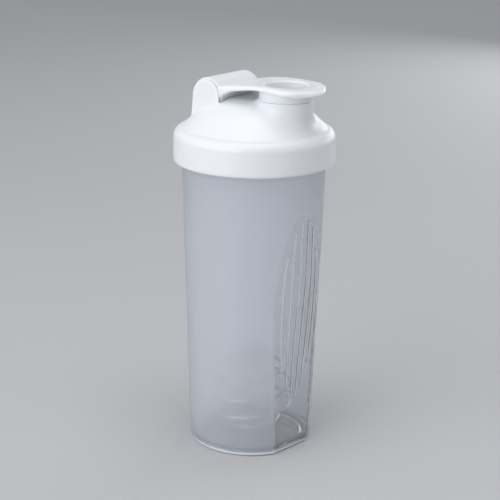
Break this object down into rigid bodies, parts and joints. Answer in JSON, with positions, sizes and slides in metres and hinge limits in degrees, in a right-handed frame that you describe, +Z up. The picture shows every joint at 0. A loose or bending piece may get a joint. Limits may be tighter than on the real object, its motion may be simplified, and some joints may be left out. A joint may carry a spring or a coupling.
{
  "type": "protein shaker bottle",
  "caption": "Frosted shaker bottle with a white screw lid, hinged flip cap over a round spout, ribbed grip panels and a loose wire whisk ball inside.",
  "frame": {"origin": "centre of the base, on the surface the bottle stands on", "axes": "+Z up along the bottle's axis; the spout faces -Y; the flip cap's hinge lies along X at +Y"},
  "size_m": [0.09, 0.09, 0.2105],
  "materials": {
    "frosted_plastic": "frosted translucent polypropylene with polished grip panels",
    "white_plastic": "satin white polypropylene",
    "silicone": "soft matt silicone",
    "stainless_wire": "polished stainless steel wire"
  },
  "bodies": {
    "cup_body": {"cup": "frosted_plastic"},
    "gasket_body": {"lid_gasket": "silicone"},
    "lid_body": {"lid": "white_plastic"},
    "cap_body": {"flip_cap": "white_plastic"},
    "ball_body": {"whisk_ball": "stainless_wire"}
  },
  "joints": [
    {"name": "lid_lift", "type": "slide", "parent": "cup_body", "child": "gasket_body", "axis": [0, 0, 1], "range_m": [0, 0.0241]},
    {"name": "lid_turn", "type": "hinge", "parent": "gasket_body", "child": "lid_body", "pos_m": [0, 0, 0.17], "axis": [0, 0, 1], "range_deg": [0, 1080]},
    {"name": "cap_hinge", "type": "hinge", "parent": "lid_body", "child": "cap_body", "pos_m": [0, 0.0202, 0.2003], "axis": [-1, 0, 0], "range_deg": [0, 160]},
    {"name": "ball_travel", "type": "slide", "parent": "cup_body", "child": "ball_body", "axis": [0, 0, 1], "range_m": [0, 0.135]}
  ],
  "couplings": [
    {"joint": "lid_lift", "follows": "lid_turn", "m_per_rad": 0.0012732}
  ]
}
